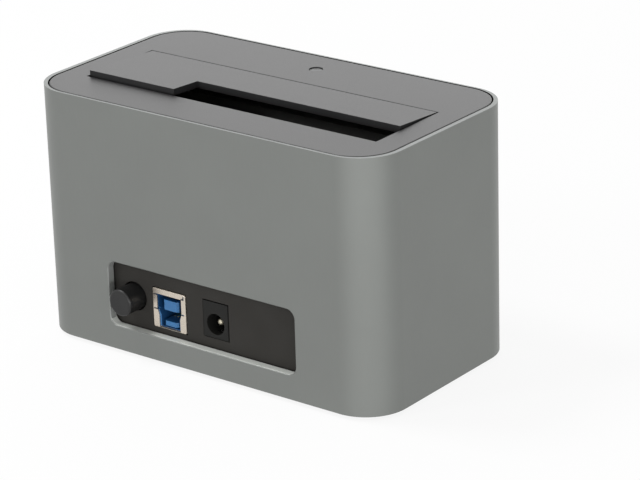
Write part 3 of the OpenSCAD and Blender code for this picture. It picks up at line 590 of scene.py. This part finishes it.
def screw(x, y, low, high):
    """Pan head screw, head down, with a cross recess and a rolled thread."""
    head, shank, thick = 2.4, 1.2, 1.3
    pitch, thread, tip = 0.6, 0.18, 0.4
    arm, half_arm, deep = 1.35, 0.3, 0.75
    profile = [(0, low), (1.5, low + 0.02), (2.0, low + 0.18), (2.3, low + 0.5), (head, low + 0.9),
               (head, low + thick), (shank, low + thick)]
    z = low + thick + pitch / 2
    while z + pitch < high - 0.5:
        profile += [(shank, z), (shank - thread, z + pitch / 2), (shank, z + pitch)]
        z += pitch
    profile += [(shank, high - tip), (shank - tip, high), (0, high)]
    bm = turned(profile, (x, y, 0), "Z", 28)
    for a, b in ((arm, half_arm), (half_arm, arm)):
        bm = carve(bm, block((x - a, y - b, low - PAST), (x + a, y + b, low + deep)))
    return bm


def screws(node, places):
    low, high = node_box(node)
    return together([screw(x, y, low.z, high.z) for x, y in places])


# Sockets and switch

def mouth_outline(wide, narrow, foot, floor):
    """Outline of the type B mouth as (across, height) points: two half widths joined by slopes."""
    knee, shoulder, top = floor + 3.9, floor + 6.0, floor + 10.4
    side = [(narrow, foot), (narrow, knee), (wide, shoulder), (wide, top)]
    return side + [(-across, height) for across, height in reversed(side)]


def shell_box():
    """Corners of the folded shell itself, without the rails that hold it off the board."""
    low, high = node_box("usb_shell")
    shell_h = 12
    return low, Vector((high.x, high.y, low.z + shell_h))


def shell_slits():
    """Narrow cuts where the front flaps of the shell meet, from their corners as (across, height)."""
    low, high = shell_box()
    middle, slit = (low.x + high.x) / 2, 0.42
    places = [((4.4, 9.9), (5.75, 9.9 + slit)), ((3.9, 5.5), (5.75, 5.5 + slit)),
              ((-5.4, 5.5), (-3.9, 5.5 + slit)), ((-5.5, 10.3), (-4.4, 10.3 + slit)),
              ((-5.5, 10.3), (-5.5 + slit, 11.4))]
    return [block((middle + x0, high.y - PAST, low.z + z0), (middle + x1, high.y + PAST, low.z + z1))
            for (x0, z0), (x1, z1) in places]


def usb_shell():
    """Folded sheet: rounded bends, a stepped mouth, slits where the front flaps meet, and rails on top."""
    low, high = shell_box()
    sheet, middle = 0.4, (low.x + high.x) / 2
    bend, front_edge = 0.5, 0.15
    mouth_wide, mouth_narrow, mouth_foot = 4.5, 3.9, 0.2
    rail_off, rail_half, rail_back, rail_front, rail_edge = 4.95, 0.5, 1, 25.6, 0.12
    bm = block(low, high)
    round_off(bm, edges_along(bm, 1), bend, 4)
    soften_where(bm, lambda co: co.y > high.y - ON_FACE, front_edge)
    bm = carve(bm, block((low.x + sheet, low.y - PAST, low.z + sheet),
                         (high.x - sheet, high.y - sheet, high.z - sheet)))
    mouth = mouth_outline(mouth_wide, mouth_narrow, low.z + mouth_foot, low.z)
    bm = carve(bm, prism(mouth, middle, high.y - PAST, high.y + PAST))
    for slit in shell_slits():
        bm = carve(bm, slit)
    top = node_box("usb_shell")[1].z
    for side in (-1, 1):
        x = middle + side * rail_off
        rail = block((x - rail_half, low.y + rail_back, high.z - sheet / 2),
                     (x + rail_half, rail_front, top))
        bm = carve(bm, soften(rail, rail_edge, 2), "UNION")
    return bm


def tongue(middle, half, back, front, foot, top):
    """Tongue of the type B socket with a chamfered nose and painted shade on its sides, top and underside.
    """
    nose, edge = 0.6, 0.15
    bm = block((middle - half, back, foot), (middle + half, front, top))
    round_off(bm, [e for e in edges_along(bm, 2) if e.verts[0].co.y > front - ON_FACE], nose, 1)
    soften_where(bm, lambda co: co.y > front - nose - 0.1, edge, 2, 60)
    # Painted shade on every face that does not look forward or back.
    return paint(bm, lambda co, out: abs(out.y) < 0.3)


def socket_insert():
    """Moulding inside the shell, hollow behind the mouth, with two chamfered tongues."""
    low, high = node_box("usb_insulator")
    shell_low, shell_high = shell_box()
    middle, floor = (low.x + high.x) / 2, shell_low.z
    front, back = shell_high.y - 0.5, shell_high.y - 9
    wide, narrow, sill, edge = 4.45, 3.4, 0.65, 0.12
    root = 0.4
    hollow = prism(mouth_outline(wide, narrow, floor + sill, floor), middle, back, high.y + PAST)
    bm = soften_where(carve(block(low, high), hollow), lambda co: co.y > high.y - ON_FACE, edge, 2)

    def in_hollow(co, out):
        return abs(out.y) < 0.5 and abs(co.x - middle) < wide + 0.15 and low.z + 0.1 < co.z < high.z - 0.1

    # Painted shade: the hollow's walls and the floor of the mouth take the darker blue.
    paint(bm, in_hollow)
    paint(bm, lambda co, out: abs(co.x - middle) < narrow + 0.1 and co.z < floor + sill + 0.05)
    for slit in shell_slits():
        bm = carve(bm, slit)
    for half, foot, top in ((2.8, 5.7, 8.85), (2.525, 0.9, 2.45)):
        bm = carve(bm, tongue(middle, half, back - root, front, floor + foot, floor + top), "UNION")
    return bm


def socket_strips():
    """Contact strips on the tongues, with their front ends well behind the tongues' noses."""
    bm = from_cad("usb_contacts")
    front = node_box("usb_contacts")[1].y
    short, edge = 3.2, 0.04
    bmesh.ops.translate(bm, vec=(0, -short, 0), verts=[v for v in bm.verts if v.co.y > front - 0.1])
    return soften(bm, edge, 2)


def jack_block():
    """Moulded block with a chamfered bore and soft outer edges."""
    bm = from_cad("jack_body")
    high = node_box("jack_body")[1]
    pin_low, pin_high = node_box("jack_pin")
    x, z = (pin_low.x + pin_high.x) / 2, (pin_low.z + pin_high.z) / 2
    bore_reach, block_reach, edge = 3.4, 3.5, 0.2

    def off_axis(co):
        return math.hypot(co.x - x, co.z - z)

    soften_where(bm, lambda co: co.y > high.y - ON_FACE and off_axis(co) < bore_reach, edge, 2)
    return soften_where(bm, lambda co: off_axis(co) > block_reach, edge)


def jack_pin():
    """Centre pin with a round tip."""
    low, high = node_box("jack_pin")
    x, z, r = (low.x + high.x) / 2, (low.z + high.z) / 2, (high.x - low.x) / 2
    return turned([(0, low.y), (r, low.y)] + arc((0, high.y - r), r, 0, 90, 12), (x, 0, z), "Y", 40)


def jack_leaf():
    """Spring leaf whose front end dips into its pocket."""
    low, high = node_box("jack_contact")
    thick, rise, edge = 0.3, 0.3, 0.06
    bend = 1.25
    bm = block(low, (high.x, high.y, low.z + thick))
    bmesh.ops.subdivide_edges(bm, edges=edges_along(bm, 1), cuts=6)
    for vert in bm.verts:
        along = (vert.co.y - low.y) / (high.y - low.y)
        vert.co.z += rise * math.sin(math.pi * min(1, along * bend))
    return soften(bm, edge, 2, 60)


def power_button():
    """Turned cap with a rounded edge, a faint dish and a square socket behind its flange."""
    low, high = node_box("power_button")
    x, z = (low.x + high.x) / 2, (low.z + high.z) / 2
    cap, flange, edge, back, front = 4.05, 5.25, 0.6, low.y, high.y
    flange_t, flange_edge = 1, 0.2
    bar_half, bar_deep = 1.7, 5
    profile = [(0, back), (flange - flange_edge, back), (flange, back + flange_edge),
               (flange, back + flange_t - flange_edge), (flange - flange_edge, back + flange_t),
               (cap, back + flange_t)]
    profile += arc((cap - edge, front - edge), edge, 0, 90, 8)
    profile += [(cap - 1.3, front - 0.03), (cap - 2.6, front - 0.07), (0, front - 0.09)]
    bm = turned(profile, (x, 0, z), "Y", 72)
    bar = block((x - bar_half, back - PAST, z - bar_half), (x + bar_half, back + bar_deep, z + bar_half))
    return carve(bm, bar)


# Springs

def coil(start, along, wire, centre, axis, step, turns, first, last):
    """Wound wire: a ring at start facing along, wound about an axis, with a straight leg at each end."""
    sides, steps = 12, 28
    bm = bmesh.new()
    bmesh.ops.create_circle(bm, radius=wire / 2, segments=sides)
    turn = Vector((0, 0, 1)).rotation_difference(Vector(along)).to_matrix()
    bmesh.ops.rotate(bm, cent=(0, 0, 0), matrix=turn, verts=bm.verts)
    bmesh.ops.translate(bm, vec=start, verts=bm.verts)
    ring = straight_run(bm, list(bm.edges), first)
    ends = list({v for e in ring for v in e.verts})
    made = bmesh.ops.spin(bm, geom=ends + ring, cent=centre, axis=axis, dvec=Vector(step) / steps,
                          angle=turns * math.tau, steps=round(turns * steps))["geom_last"]
    straight_run(bm, drawn_edges(made), last)
    bmesh.ops.holes_fill(bm, edges=[e for e in bm.edges if e.is_boundary])
    bmesh.ops.recalc_face_normals(bm, faces=bm.faces)
    return bm


def door_spring(side):
    """Torsion spring on the hinge pin, with one leg under the cover and the other under the door."""
    pin_low, pin_high = node_box("hinge_pin")
    y, z = (pin_low.y + pin_high.y) / 2, (pin_low.z + pin_high.z) / 2
    wire, reach, pitch, turns, outer = 0.6, 1.65, 1.1, 5, 20.1
    cover_leg, door_leg, door_rise = 2.6, 5.25, 0.3
    bm = coil((side * outer, y - cover_leg, z + reach), (0, 1, 0), wire, (0, y, z), (-1, 0, 0),
              (-side * pitch, 0, 0), turns, (0, cover_leg, 0), (0, door_leg, door_rise))
    name = "door_spring_left" if side > 0 else "door_spring_right"
    obj = piece(name, bm, None, [finishes["steel"]], ["flap_springs"])
    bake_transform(obj)


def switch_spring():
    """Pressure spring between the plunger and the back of the switch."""
    low, high = node_box("switch_spring")
    cap_low, cap_high = node_box("power_button")
    x, z = (cap_low.x + cap_high.x) / 2, (cap_low.z + cap_high.z) / 2
    wire, reach, turns, lead = 0.4, 1.2, 5, 0.6
    y0, y1 = low.y + wire / 2, high.y - wire / 2
    pitch = (y1 - y0) / turns
    bm = coil((x + lead, y0, z + reach), (-1, 0, 0), wire, (x, 0, z), (0, -1, 0), (0, pitch, 0), turns,
              (-lead, 0, 0), (-lead, 0, 0))
    obj = piece("button_spring", bm, None, [finishes["steel"]], ["switch_spring"])
    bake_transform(obj)


# Parts on the board, which hang under it

def leg(reach, rise, width, centre, turn):
    """Bent leg of a chip: level out of its side, down to the board and along it, turned about the chip."""
    thick, root = 0.14, 0.3
    path = [(-root, -rise), (0.25 * reach, -rise), (0.5 * reach, -thick), (reach, -thick)]
    bm = bmesh.new()
    points = [bm.verts.new((x, -width / 2, z)) for x, z in path]
    lines = [bm.edges.new(pair) for pair in zip(points, points[1:])]
    made = bmesh.ops.extrude_edge_only(bm, edges=lines)["geom"]
    bmesh.ops.translate(bm, vec=(0, width, 0), verts=drawn_verts(made))
    bmesh.ops.recalc_face_normals(bm, faces=bm.faces)
    bmesh.ops.solidify(bm, geom=list(bm.faces), thickness=thick)
    bmesh.ops.recalc_face_normals(bm, faces=bm.faces)
    top = max(v.co.z for v in bm.verts)
    bmesh.ops.translate(bm, vec=(0, 0, -top), verts=bm.verts)
    bmesh.ops.rotate(bm, cent=(0, 0, 0), matrix=Matrix.Rotation(turn, 3, "Z"), verts=bm.verts)
    bmesh.ops.translate(bm, vec=centre, verts=bm.verts)
    return coat(bm)


def legged_chip(node, sides, reach, width):
    """Chip under the board: moulded body with a sloped edge and a dimple, and rows of legs.
    sides gives the number of legs at +X, +Y, -X and -Y."""
    low, high = node_box(node)
    stand_off, edge = 0.12, 0.18
    spot_in, spot_r, spot_deep = 1.0, 0.4, 0.12
    draw = [reach if sides[0] else 0, reach if sides[1] else 0]
    body = block((low.x + draw[0], low.y + draw[1], low.z),
                 (high.x - draw[0], high.y - draw[1], high.z - stand_off))
    soften(body, edge, 1)
    spot = [(0, low.z - PAST), (spot_r, low.z - PAST), (spot_r, low.z + spot_deep), (0, low.z + spot_deep)]
    body = carve(body, turned(spot, (low.x + draw[0] + spot_in, low.y + draw[1] + spot_in, 0), "Z", 20))
    shapes = [body]
    middle, half = (low + high) / 2, (high - low) / 2
    rise = (high.z - low.z) / 2
    for i, count in enumerate(sides):
        turn = i * math.pi / 2
        out = Vector((math.cos(turn), math.sin(turn), 0))
        along = Vector((-out.y, out.x, 0))
        span = 2 * (half.y - draw[1] if i % 2 == 0 else half.x - draw[0])
        start = out.x * out.x * half.x + out.y * out.y * half.y - reach
        for j in range(count):
            shift = span * ((j + 0.5) / count - 0.5)
            place = Vector((middle.x, middle.y, high.z)) + out * start + along * shift
            shapes.append(leg(reach, rise, width, place, turn))
    return together(shapes)


def regulator():
    """Moulded body under the board, with a wide metal tab on one side and three legs on the other."""
    low, high = node_box("regulator")
    middle = (low + high) / 2
    reach, rise, width, pitch = 1.4, 1.2, 0.75, 2.3
    tab_out, tab_in, tab_side, tab_t = 1.0, 2.5, 0.6, 0.55
    stand_off, body_edge, tab_edge = 0.1, 0.25, 0.1
    body = block((low.x, low.y + reach, low.z), (high.x, high.y - tab_out, high.z - stand_off))
    tab = block((low.x + tab_side, high.y - tab_in, high.z - tab_t), (high.x - tab_side, high.y, high.z))
    legs = [leg(reach, rise, width, (middle.x + step, low.y + reach, high.z), -math.pi / 2)
            for step in (-pitch, 0, pitch)]
    return together([soften(body, body_edge, 1), coat(soften(tab, tab_edge, 2)), *legs])


def drum_coil():
    """Ferrite drum on a square base, with copper wound between its flanges and tinned ends."""
    low, high = node_box("power_inductor")
    x, y = (low.x + high.x) / 2, (low.y + high.y) / 2
    plate_t, plate_cut, plate_edge = 0.7, 1.4, 0.12
    top, base = high.z, high.z - plate_t
    flange, edge, core = (high.x - low.x) / 2 - 0.15, 0.2, 2.0
    lower, upper = low.z + 0.8, base - 0.5
    seated = base + 0.2
    plate = block((low.x, low.y, base), (high.x, high.y, top))
    round_off(plate, edges_along(plate, 2), plate_cut, 1)
    soften(plate, plate_edge, 2)
    spool = [(0, low.z), (flange - edge, low.z), (flange, low.z + edge), (flange, lower), (core, lower),
             (core, upper), (flange, upper), (flange, seated), (0, seated)]
    drum = turned(spool, (x, y, 0), "Z", 40)
    rows, inside, wound = 6, core - 0.1, flange - 0.45
    step = (upper - lower) / rows
    wire = [(inside, lower)]
    for i in range(rows):
        wire += arc((wound - step / 2, lower + (i + 0.5) * step), step / 2, -90, 90, 6)
    wire += [(inside, upper), (inside, lower)]
    winding = coat(turned(wire, (x, y, 0), "Z", 40), 2)
    end_half, end_in, end_foot, end_edge = 1.5, 0.9, base - 0.25, 0.1
    ends = [block((x - end_half, y0, end_foot), (x + end_half, y0 + end_in, top))
            for y0 in (low.y, high.y - end_in)]
    return together([plate, drum, winding] + [coat(soften(end, end_edge, 2)) for end in ends])


def can(x, y):
    """Aluminium can hung from a square base, crimped near its mouth, with a scored end."""
    low, high = node_box("capacitors")
    r = (high.y - low.y) / 2
    base_t, base_cut, base_edge = 0.9, 1.2, 0.12
    base = block((x - r, y - r, high.z - base_t), (x + r, y + r, high.z))
    round_off(base, [e for e in edges_along(base, 2) if e.verts[0].co.x > x], base_cut, 1)
    coat(soften(base, base_edge, 2))
    tube, edge, dish = r - 0.15, 0.5, 0.12
    crimp, crimp_r, crimp_half = high.z - 2.05, 0.3, 0.35
    seated = high.z - base_t + 0.1
    profile = [(0, low.z + dish), (tube - 0.8, low.z + dish), (tube - 0.65, low.z)]
    profile += arc((tube - edge, low.z + edge), edge, -90, 0, 6)
    profile += [(tube, crimp - crimp_half)] + arc((tube, crimp), crimp_r, -90, -270, 8)
    profile += [(tube, crimp + crimp_half), (tube, seated), (0, seated)]
    body = turned(profile, (x, y, 0), "Z", 48)
    score, half_score, deep = tube - 1.0, 0.12, 0.2
    for a, b in ((score, half_score), (half_score, score)):
        body = carve(body, block((x - a, y - b, low.z - PAST), (x + a, y + b, low.z + deep)))
    return together([base, body])


def crystal_can():
    """Drawn can with a round lower edge, on a flange that lies on the board."""
    low, high = node_box("crystal")
    middle, size = (low + high) / 2, high - low
    flange_t, flange_w, flange_edge, can_edge = 0.5, 0.5, 0.15, 0.6
    flange = from_cad("crystal")
    whole = flange.verts[:] + flange.edges[:] + flange.faces[:]
    cut = bmesh.ops.bisect_plane(flange, geom=whole, plane_co=(0, 0, high.z - flange_t),
                                 plane_no=(0, 0, -1), clear_outer=True)["geom_cut"]
    bmesh.ops.holes_fill(flange, edges=drawn_edges(cut))
    bmesh.ops.recalc_face_normals(flange, faces=flange.faces)
    soften_where(flange, lambda co: co.z < high.z - flange_t + 0.1, flange_edge, 2)
    shell = from_cad("crystal")
    narrower = ((size.x - 2 * flange_w) / size.x, (size.y - 2 * flange_w) / size.y, 1)
    bmesh.ops.scale(shell, vec=narrower, verts=shell.verts, space=Matrix.Translation(-middle))
    soften_where(shell, lambda co: co.z < low.z + ON_FACE, can_edge, 4)
    return together([flange, shell])


def resistor_rows():
    """Ceramic chips with a dark face and a tinned cap over each end."""
    low, high = node_box("chip_resistors")
    columns, rows, pitch = 6, 2, 4
    half_l, half_w, cap_half, cap_edge = 1, 0.625, 0.2, 0.07
    body_half_l, body_half_w, under, over = 0.7, 0.6, 0.08, 0.03
    shapes = []
    for i in range(columns):
        for j in range(rows):
            x, y = low.x + half_l + pitch * i, low.y + half_w + pitch * j
            body = block((x - body_half_l, y - body_half_w, low.z + under),
                         (x + body_half_l, y + body_half_w, high.z - over))
            shapes.append(paint(body, lambda co, out: out.z > -0.9, 2))
            for end in (x - half_l + cap_half, x + half_l - cap_half):
                cap = block((end - cap_half, y - half_w, low.z), (end + cap_half, y + half_w, high.z))
                shapes.append(coat(soften(cap, cap_edge, 2)))
    return together(shapes)


def circuit_board():
    """Board with soft edges and bare laminate where it was cut."""
    return paint(softened("main_board", 0.1, 2), lambda co, out: abs(out.z) < 0.3)


# All pieces, in place

case_places = [(x, y) for x in (-53.6, 53.6) for y in (23.7, -27.2)]
bay_places = [(x, y) for x in (-30, 30) for y in (22.4, -24.5)]
board_places = [(x, y) for x in (-44, 44) for y in (11.85, -8.44)]
foot_places = [(x, y) for x in (-38, 38) for y in (21.1, -24.6)]
can_places = [(x, -16.75) for x in (-26, -18)]

dress("sleeve", sleeve(), "outer_sleeve", [rim_metal_painted_highlight, milled_metal_painted_light, milled_metal_painted_shade, groove_painted_shade])
dress("cover", cover(), "top_cover")
dress("door_plate", softened("drive_flap", radius=0.15), "drive_flap", finish=door_plastic)
dress("well", softened("drive_bay", radius=0.2), "drive_bay")
dress("floor_plate", softened("bottom_plate", radius=0.18), "bottom_plate")
dress("port_panel", softened("rear_panel", radius=0.1), "rear_panel")
dress("button_cap", power_button(), "power_button")
dress("light_window", light_guide(), "light_guide")
dress("lamp", status_lamp(), "status_led")
dress("socket_shell", usb_shell(), "usb_shell")
dress("socket_insert", socket_insert(), "usb_insulator", [socket_painted_shade])
dress("socket_contacts", socket_strips(), "usb_contacts")
dress("jack_block", jack_block(), "jack_body")
dress("jack_tip", jack_pin(), "jack_pin", finish=pin_metal)
dress("jack_leaf", jack_leaf(), "jack_contact")
dress("drive_socket", softened("sata_receptacle", radius=0.12), "sata_receptacle")
dress("drive_contacts", softened("sata_contacts", radius=0.08), "sata_contacts")
dress("switch_housing", softened("switch_body", radius=0.25), "switch_body")
dress("switch_bar", softened("switch_plunger", radius=0.06), "switch_plunger")
dress("hinge_rod", hinge_pin(), "hinge_pin")
dress("case_screw_set", screws("case_screws", case_places), "case_screws")
dress("well_screw_set", screws("bay_screws", bay_places), "bay_screws")
dress("board_screw_set", screws("board_screws", board_places), "board_screws")
dress("feet", together([rubber_foot(x, y) for x, y in foot_places]), "rubber_feet")
dress("circuit_board", circuit_board(), "main_board", [laminate])
dress("bridge_package", legged_chip("bridge_chip", sides=(12, 12, 12, 12), reach=0.9, width=0.3),
      "bridge_chip", [tin])
dress("memory_package", legged_chip("memory_chip", sides=(0, 4, 0, 4), reach=0.75, width=0.42),
      "memory_chip", [tin])
dress("regulator_package", regulator(), "regulator", [tin])
dress("drum_coil", drum_coil(), "power_inductor", [tin, copper])
dress("can_pair", together([can(x, y) for x, y in can_places]), "capacitors", [finishes["chip_plastic"]])
dress("crystal_can", crystal_can(), "crystal")
dress("resistor_rows", resistor_rows(), "chip_resistors", [tin, ceramic])
door_spring(1)
door_spring(-1)
switch_spring()


# Studio, in metres

def straight_rays(tree, others, straight):
    """One level for rays straight from the camera, a reflection or glass, and another for the rest."""
    seen = add(tree, "ShaderNodeLightPath")
    first = add(tree, "ShaderNodeMath", operation="MAXIMUM")
    second = add(tree, "ShaderNodeMath", operation="MAXIMUM")
    level = add(tree, "ShaderNodeMapRange", {"To Min": others, "To Max": straight})
    tree.links.new(seen.outputs["Is Camera Ray"], first.inputs[0])
    tree.links.new(seen.outputs["Is Glossy Ray"], first.inputs[1])
    tree.links.new(first.outputs[0], second.inputs[0])
    tree.links.new(seen.outputs["Is Transmission Ray"], second.inputs[1])
    tree.links.new(second.outputs[0], level.inputs["Value"])
    return level.outputs["Result"]


def pale_floor():
    """Floor that is nearly white to straight rays and keeps the object's shadow."""
    bm = bmesh.new()
    bmesh.ops.create_grid(bm, x_segments=1, y_segments=1, size=4)
    mesh = bpy.data.meshes.new("floor")
    bm.to_mesh(mesh)
    bm.free()
    floor = bpy.data.objects.new("floor", mesh)
    bpy.context.scene.collection.objects.link(floor)
    material = bpy.data.materials.new("pale_floor")
    material.use_nodes = True
    tree = material.node_tree
    tree.nodes.clear()
    out = add(tree, "ShaderNodeOutputMaterial")
    lit = add(tree, "ShaderNodeBsdfDiffuse", {"Color": (0.9, 0.9, 0.9, 1)})
    glow = add(tree, "ShaderNodeEmission", {"Color": (1, 1, 1, 1), "Strength": 1.0})
    mix = add(tree, "ShaderNodeMixShader")
    tree.links.new(straight_rays(tree, others=0.0, straight=0.89), mix.inputs["Fac"])
    tree.links.new(lit.outputs[0], mix.inputs[1])
    tree.links.new(glow.outputs[0], mix.inputs[2])
    tree.links.new(mix.outputs[0], out.inputs["Surface"])
    floor.data.materials.append(material)


def white_surround():
    world = bpy.data.worlds.new("white_surround")
    bpy.context.scene.world = world
    world.use_nodes = True
    tree = world.node_tree
    back = tree.nodes["Background"]
    back.inputs["Color"].default_value = (1, 1, 1, 1)
    tree.links.new(straight_rays(tree, others=0.55, straight=1.0), back.inputs["Strength"])


def lamp(name, place, target, size, power):
    """Softbox of a width and a height that is turned to the target."""
    light = bpy.data.lights.new(name, "AREA")
    light.shape, light.energy = "RECTANGLE", power
    light.size, light.size_y = size
    obj = bpy.data.objects.new(name, light)
    obj.location = place
    obj.rotation_mode = "QUATERNION"
    obj.rotation_quaternion = (Vector(target) - Vector(place)).to_track_quat("-Z", "Y")
    obj.visible_camera = False
    bpy.context.scene.collection.objects.link(obj)


def camera():
    """Camera at the photograph's place and angle."""
    data = bpy.data.cameras.new("camera")
    data.lens, data.sensor_width = 168.07, 36
    data.clip_start, data.clip_end = 0.01, 20
    obj = bpy.data.objects.new("camera", data)
    place = (-0.50783, 0.62205, 0.34420)
    right, up = Vector((-0.7924, -0.6093, -0.0278)), Vector((0.201, -0.304, 0.9312))
    back = Vector((-0.5759, 0.7324, 0.3634))
    obj.matrix_world = Matrix.Translation(place) @ Matrix((right, up, back)).transposed().to_4x4()
    bpy.context.scene.collection.objects.link(obj)
    bpy.context.scene.camera = obj


pale_floor()
white_surround()
middle, lid = (0, 0, 0.04), (0, 0, 0.06)
lamp("overhead_softbox", place=(0.5, 0.2, 1.0), target=middle, size=(0.3, 0.3), power=5.0)
lamp("key_softbox", place=(0.38, 0.78, 0.6), target=middle, size=(0.2, 0.2), power=2.0)
lamp("low_softbox", place=(-1.28, 1.46, 0.13), target=middle, size=(4.6, 0.22), power=34.0)
lamp("back_softbox", place=(0.63, -0.98, 0.46), target=lid, size=(0.9, 0.9), power=2.6)
camera()
bpy.context.scene.view_settings.view_transform = "Standard"
